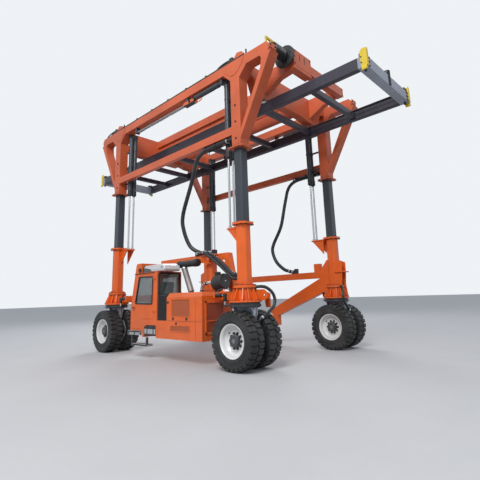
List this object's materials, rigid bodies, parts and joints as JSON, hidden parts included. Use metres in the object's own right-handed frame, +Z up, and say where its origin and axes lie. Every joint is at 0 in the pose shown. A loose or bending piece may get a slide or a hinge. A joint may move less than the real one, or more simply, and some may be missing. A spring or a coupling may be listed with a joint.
{
  "type": "straddle carrier",
  "caption": "Four-legged straddle carrier with twin tyres, side cab and engine housing, a lifting upper frame on telescopic masts and a container spreader slung under it.",
  "frame": {"origin": "on the ground under the middle of the machine", "axes": "+Z up, +X along the machine towards its engine end, +Y across to the side away from the cab"},
  "size_m": [12.2, 5.11, 7.9499],
  "materials": {
    "orange_paint": "glossy orange enamel with a little road dust",
    "slate_paint": "satin slate grey paint",
    "chrome_rod": "hard chromed rod",
    "cab_glass": "tinted safety glass",
    "black_plastic": "black moulded plastic",
    "white_shell": "white moulded roof shell",
    "dark_metal": "black painted steel",
    "grey_paint": "bare tread plate",
    "hoist_paint": "dark grey paint on the rams",
    "chain_steel": "oiled steel chain",
    "charcoal_paint": "satin charcoal paint",
    "yellow_paint": "yellow paint, chipped at the edges",
    "white_paint": "white rim enamel with dust",
    "tyre_rubber": "black rubber"
  },
  "bodies": {
    "chassis_near": {"near_legs": "orange_paint", "near_masts": "slate_paint", "near_lift_rods": "chrome_rod", "near_frame": "orange_paint", "overhead_tray": "orange_paint", "cab_shell": "orange_paint", "cab_glass": "cab_glass", "cab_seat": "black_plastic", "roof_unit": "white_shell", "engine_hood": "orange_paint", "engine": "dark_metal", "side_lockers": "dark_metal", "exhaust_and_intake": "dark_metal", "steps": "grey_paint"},
    "cab_door": {"cab_door": "orange_paint", "door_glass": "cab_glass"},
    "chassis_far": {"far_legs": "orange_paint", "far_masts": "slate_paint", "far_lift_rods": "chrome_rod", "far_truss": "orange_paint"},
    "top_frame": {"side_beams": "orange_paint", "upper_legs": "orange_paint", "cross_frame": "orange_paint", "end_beams": "orange_paint", "guard_rails": "yellow_paint", "lift_barrels": "slate_paint", "hoist_rams": "hoist_paint", "hose_reel": "dark_metal"},
    "spreader": {"spreader_frame": "charcoal_paint", "corner_guides": "yellow_paint", "twistlocks": "dark_metal", "hoist_chains": "chain_steel"},
    "yoke_nl": {"yoke_nl": "charcoal_paint"},
    "wheels_nl": {"rims_nl": "white_paint", "tyres_nl": "tyre_rubber"},
    "yoke_nr": {"yoke_nr": "charcoal_paint"},
    "wheels_nr": {"rims_nr": "white_paint", "tyres_nr": "tyre_rubber"},
    "yoke_fl": {"yoke_fl": "charcoal_paint"},
    "wheels_fl": {"rims_fl": "white_paint", "tyres_fl": "tyre_rubber"},
    "yoke_fr": {"yoke_fr": "charcoal_paint"},
    "wheels_fr": {"rims_fr": "white_paint", "tyres_fr": "tyre_rubber"}
  },
  "joints": [
    {"name": "lift", "type": "slide", "parent": "chassis_near", "child": "top_frame", "axis": [0, 0, 1], "range_m": [-1.7, 0]},
    {"name": "far_legs_slide", "type": "slide", "parent": "top_frame", "child": "chassis_far", "axis": [0, 0, -1], "range_m": [-1.7, 0]},
    {"name": "hoist", "type": "slide", "parent": "top_frame", "child": "spreader", "axis": [0, 0, 1], "range_m": [-2.3, 0], "deforming": ["hoist_chains"]},
    {"name": "cab_door_hinge", "type": "hinge", "parent": "chassis_near", "child": "cab_door", "pos_m": [-0.095, -2.518, 1.6], "axis": [0, 0, 1], "range_deg": [0, 80]},
    {"name": "steer_nl", "type": "hinge", "parent": "chassis_near", "child": "yoke_nl", "pos_m": [-2.95, -2.05, 1.43], "axis": [0, 0, 1], "range_deg": [-40, 40]},
    {"name": "roll_nl", "type": "hinge", "parent": "yoke_nl", "child": "wheels_nl", "pos_m": [-2.95, -2.05, 0.65], "axis": [0, 1, 0], "continuous": true},
    {"name": "steer_nr", "type": "hinge", "parent": "chassis_near", "child": "yoke_nr", "pos_m": [2.95, -2.05, 1.43], "axis": [0, 0, 1], "range_deg": [-40, 40]},
    {"name": "roll_nr", "type": "hinge", "parent": "yoke_nr", "child": "wheels_nr", "pos_m": [2.95, -2.05, 0.65], "axis": [0, 1, 0], "continuous": true},
    {"name": "steer_fl", "type": "hinge", "parent": "chassis_far", "child": "yoke_fl", "pos_m": [-2.95, 2.05, 1.43], "axis": [0, 0, 1], "range_deg": [-40, 40]},
    {"name": "roll_fl", "type": "hinge", "parent": "yoke_fl", "child": "wheels_fl", "pos_m": [-2.95, 2.05, 0.65], "axis": [0, 1, 0], "continuous": true},
    {"name": "steer_fr", "type": "hinge", "parent": "chassis_far", "child": "yoke_fr", "pos_m": [2.95, 2.05, 1.43], "axis": [0, 0, 1], "range_deg": [-40, 40]},
    {"name": "roll_fr", "type": "hinge", "parent": "yoke_fr", "child": "wheels_fr", "pos_m": [2.95, 2.05, 0.65], "axis": [0, 1, 0], "continuous": true}
  ],
  "couplings": [
    {"joint": "far_legs_slide", "follows": "lift", "ratio": 1}
  ]
}
